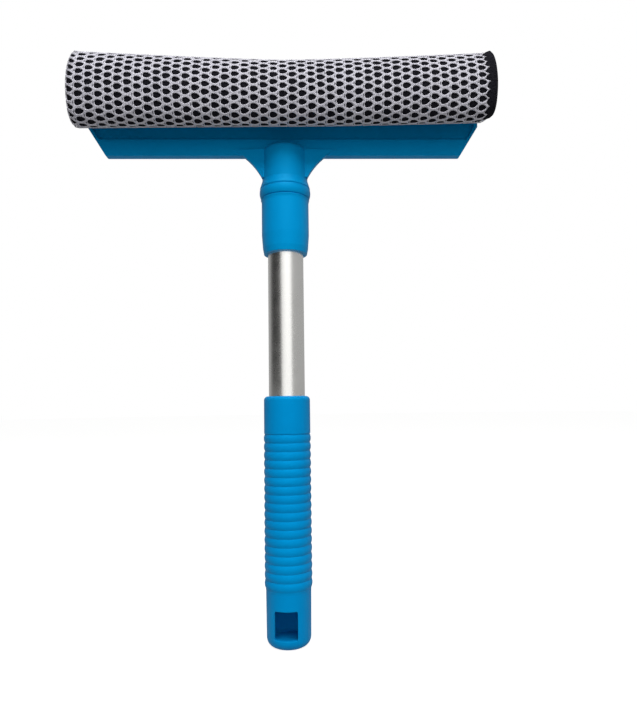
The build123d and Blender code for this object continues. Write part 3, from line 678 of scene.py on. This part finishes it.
def makeNet():
    # Staggered cells over the pad's skin. Each has four rings: the middle of the bands, the
    # yarns' backs, the hole's rim and the underside; neighbours share their outer rings.
    rows = net["rows"]
    rowStep = girth / rows
    outline, hole, atSlit = cellTemplate(rowStep)
    count, columns = len(outline), net["columns"]
    half = (pad["right"] - pad["left"]) / 2
    random = np.random.default_rng(net["seed"])
    column, row = (a.ravel() for a in np.meshgrid(np.arange(columns), np.arange(rows), indexing="ij"))
    size = 1 + net["holeSpread"] * random.standard_normal(len(column))
    middleAlong = net["lastColumn"] - leftEdge - (columns - 1 - column) * net["columnStep"]
    middleAround = (row - rows // 2 - 0.5 * ((column + 1) % 2)) * rowStep
    shoulder = outline * (1 - net["yarnBack"]) + hole * net["yarnBack"]
    rings = np.stack([outline, shoulder, hole, outline])[None] + np.zeros((len(column), 1, 1, 1))
    rings[:, 1:3] *= size[:, None, None, None]
    along = middleAlong[:, None, None] + rings[..., 0]
    across = middleAround[:, None, None] + rings[..., 1]
    height = np.array([net["grooveHeight"], net["yarnHeight"], net["rimHeight"], net["underHeight"]])
    height = height[None, :, None] + np.zeros_like(along)
    height[:, 0, atSlit] = net["slitHeight"]
    # Where the net is cut, its upper and lower skins meet along a ragged line.
    cutRight = (column == columns - 1)[:, None] & (outline[:, 0] > net["columnStep"] - net["leftTip"] - 1e-6)
    cutLeft = (column == 0)[:, None] & (outline[:, 0] < -(net["columnStep"] - net["rightTip"]) + 1e-6)
    edge = (cutRight | cutLeft)[:, None, :] & np.isin(np.arange(4), (0, 3))[None, :, None]
    height = np.where(edge, net["rimHeight"], height)
    tooth, notch = net["toothReach"]
    pulled = np.where(outline[:, 0] > net["rightTip"] - 1e-6, tooth, notch)
    ragged = net["ragged"] * np.sin(across / rowStep * 2.3 + 1.7 * np.sin(across / rowStep * 5.1))
    along = along + np.where(edge & (outline[:, 0] > 0), pulled + ragged, 0)
    # The knit wanders a little, its rows lie closer towards the ends, and the folded end is
    # turned. Closer rows come from a sine added to the way round.
    turn = across / girth * 2 * math.pi
    wander = 0.20 * mm * np.sin(along * 61 + 2 * np.sin(turn)) + 0.12 * mm * np.sin(along * 149 + 3 * turn)
    drift = 0.16 * mm * np.sin(along * 190 + 2 * turn) + 0.12 * mm * np.sin(along * 410 + 5 * turn)
    share = np.clip((leftEdge + along) / half, -1, 1)
    phase = np.polynomial.polynomial.polyval(share, net["phase"])
    closer = 1 - rows / np.polynomial.polynomial.polyval(share, net["density"])
    along = along + np.where(edge, 0, 1) * wander
    turn = turn - 2 * math.pi * phase / rows
    around = net["front"] + (turn - closer * np.sin(turn)) / (2 * math.pi)
    around = around + drift / girth + net["skew"] * np.clip(-along / net["columnStep"], 0, 1)
    points = padPoint(along, around) + padNormal(along, around) * (net["lift"] + height)[..., None]
    number = np.arange(len(column) * 4 * count).reshape(len(column), 4, count)
    ahead = np.roll(number, -1, axis=2)
    strips = [
        np.stack([number[:, k], ahead[:, k], ahead[:, k + 1], number[:, k + 1]], axis=-1)
        for k in range(3)
    ]
    quads = np.stack(strips, axis=1).reshape(-1, 4)
    # Maps: place in the cell, with its middle at a half, and place on the yarn.
    place = 0.5 + np.stack([rings[..., 0], rings[..., 1]], axis=-1) / net["cellMapSize"]
    run = np.arange(count + 1) / count
    acrossShare = np.array([0.0, 0.5, 1.0, 0.0])
    cellMap, yarnMap = [], []
    for k in range(3):
        follow = np.roll(place, -1, axis=2)
        cellMap.append(np.stack([place[:, k], follow[:, k], follow[:, k + 1], place[:, k + 1]], axis=2))
        u = np.stack([run[:-1], run[1:], run[1:], run[:-1]], axis=-1)
        v = np.array([acrossShare[k], acrossShare[k], acrossShare[k + 1], acrossShare[k + 1]])
        yarnMap.append(np.stack([u, np.broadcast_to(v, u.shape)], axis=-1))
    cellMap = np.stack(cellMap, axis=1).reshape(-1, 2)
    yarnMap = np.broadcast_to(np.stack(yarnMap), (len(column), 3, count, 4, 2)).reshape(-1, 2)
    piece = makePiece("netSleeve", points.reshape(-1, 3), quads.tolist(), "head",
                      finishes["net_fabric"], {"cell": cellMap, "yarn": yarnMap})
    weld(piece, net["weldDistance"])
    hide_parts("mesh_sleeve")
    return piece


netSleeve = makeNet()


# Floor, light and camera

studio = {
    "floorRadius": 8.0,
    "floorCorners": 96,
    "background": (1.0, 1.0, 1.0, 1),
    "sky": 0.26,  # plain level of the surrounding light
    "flagTurn": -65.0,  # direction of the dark screen that shows in metal, from the camera's axis
    "floorColour": (0.42, 0.42, 0.41, 1),
    "floorGlow": 0.90,  # added to the floor where it is seen directly
    "floorShine": 0.20,  # share of it that shows in reflections
    "aim": (0.0, -0.01, 0.22),
}
lamps = {  # turn to the right of the view, height above the horizon, distance, width, height, watts
    "keyLamp": (6.0, 50.0, 1.15, 0.80, 0.60, 12.0),
    "sideLamp": (3.0, 4.0, 1.25, 1.60, 1.10, 4.2),
    "topLamp": (-10.0, 78.0, 1.10, 0.60, 0.60, 2.0),
}


def makeFloor():
    # A wide flat disc under the grip: seen directly it is white, and it keeps the shadow.
    corners = studio["floorCorners"]
    turn = np.arange(corners) / corners * 2 * math.pi
    points = np.stack([np.cos(turn), np.sin(turn), 0 * turn], axis=-1) * studio["floorRadius"]
    mesh = bpy.data.meshes.new("floor")
    mesh.from_pydata(points.tolist(), [], [list(range(corners))])
    floor = bpy.data.objects.new("floor", mesh)
    bpy.context.scene.collection.objects.link(floor)
    material = bpy.data.materials.new("paleFloor")
    material.use_nodes = True
    graph = Graph(material.node_tree)
    plain = graph.put("ShaderNodeBsdfDiffuse")
    plain.inputs["Color"].default_value = studio["floorColour"]
    glow = graph.put("ShaderNodeEmission")
    glow.inputs["Color"].default_value = studio["background"]
    path = graph.put("ShaderNodeLightPath")
    seen = graph.sums("MAXIMUM", path.outputs["Is Camera Ray"], path.outputs["Is Transmission Ray"])
    mirrored = graph.sums("MULTIPLY", path.outputs["Is Glossy Ray"], studio["floorShine"])
    seen = graph.sums("MAXIMUM", seen, mirrored)
    graph.join(graph.sums("MULTIPLY", seen, studio["floorGlow"]), glow.inputs["Strength"])
    mix = graph.put("ShaderNodeAddShader")
    graph.join(plain.outputs["BSDF"], mix.inputs[0])
    graph.join(glow.outputs["Emission"], mix.inputs[1])
    output = graph.put("ShaderNodeOutputMaterial")
    graph.join(mix.outputs["Shader"], output.inputs["Surface"])
    mesh.materials.append(material)


def makeWorld():
    # White behind the object, even grey for its light, and one dark screen that only
    # glossy surfaces show.
    world = bpy.data.worlds.new("studioWorld")
    bpy.context.scene.world = world
    world.use_nodes = True
    graph = Graph(world.node_tree)
    heading = graph.put("ShaderNodeTexCoord").outputs["Generated"]
    turn = math.radians(studio["flagTurn"])
    toScreen = (math.sin(turn), -math.cos(turn), 0.0)
    facing = graph.vectors("DOT_PRODUCT", heading, toScreen)
    shade = graph.span(facing, 0.35, 0.95, 0.50, 0.03, True)
    path = graph.put("ShaderNodeLightPath")
    level = graph.put("ShaderNodeMix", data_type="FLOAT")
    graph.join(path.outputs["Is Glossy Ray"], level.inputs[0])
    level.inputs[2].default_value = studio["sky"]
    graph.join(shade, level.inputs[3])
    around = graph.put("ShaderNodeBackground")
    graph.join(level.outputs[0], around.inputs["Strength"])
    white = graph.put("ShaderNodeBackground")
    white.inputs["Color"].default_value = studio["background"]
    seen = graph.sums("MAXIMUM", path.outputs["Is Camera Ray"], path.outputs["Is Transmission Ray"])
    mix = graph.put("ShaderNodeMixShader")
    graph.join(seen, mix.inputs["Fac"])
    graph.join(around.outputs["Background"], mix.inputs[1])
    graph.join(white.outputs["Background"], mix.inputs[2])
    output = graph.put("ShaderNodeOutputWorld")
    graph.join(mix.outputs["Shader"], output.inputs["Surface"])


def addLamp(name):
    turn, lift, far, width, tall, watts = lamps[name]
    turn, lift = math.radians(turn), math.radians(lift)
    aim = np.array(studio["aim"])
    away = np.array([math.sin(turn) * math.cos(lift), -math.cos(turn) * math.cos(lift), math.sin(lift)])
    data = bpy.data.lights.new(name, "AREA")
    data.shape = "RECTANGLE"
    data.size, data.size_y = width, tall
    data.energy = watts
    lamp = bpy.data.objects.new(name, data)
    bpy.context.scene.collection.objects.link(lamp)
    lamp.location = Vector(aim + away * far)
    lamp.rotation_euler = Vector(-away).to_track_quat("-Z", "Y").to_euler()


view = {  # the photograph's camera, fitted to points of the object, and its frame in pixels
    "place": (8.12 * mm, -356.8 * mm, 141.0 * mm),
    "turn": -1.86,
    "tilt": 4.97,
    "roll": -0.81,
    "focalPixels": 580.0,
    "framePixels": (637, 707),
    "sensor": 36.0,
}


def makeCamera():
    turn, tilt, roll = (math.radians(view[key]) for key in ("turn", "tilt", "roll"))
    ahead = np.array([-math.sin(turn) * math.cos(tilt), math.cos(turn) * math.cos(tilt), math.sin(tilt)])
    level = np.array([math.cos(turn), math.sin(turn), 0.0])
    upright = np.cross(level, ahead)
    right = math.cos(roll) * level + math.sin(roll) * upright
    up = -math.sin(roll) * level + math.cos(roll) * upright
    data = bpy.data.cameras.new("viewCamera")
    data.sensor_width = view["sensor"]
    data.lens = view["focalPixels"] / max(view["framePixels"]) * view["sensor"]
    data.clip_start, data.clip_end = 0.01, 50.0
    camera = bpy.data.objects.new("viewCamera", data)
    bpy.context.scene.collection.objects.link(camera)
    matrix = np.eye(4)
    matrix[:3, 0], matrix[:3, 1], matrix[:3, 2], matrix[:3, 3] = right, up, -ahead, view["place"]
    camera.matrix_world = Matrix(matrix.tolist())
    bpy.context.scene.camera = camera


makeFloor()
makeWorld()
for name in lamps:
    addLamp(name)
makeCamera()
bpy.context.scene.view_settings.view_transform = "Standard"
print("floor, light and camera placed")
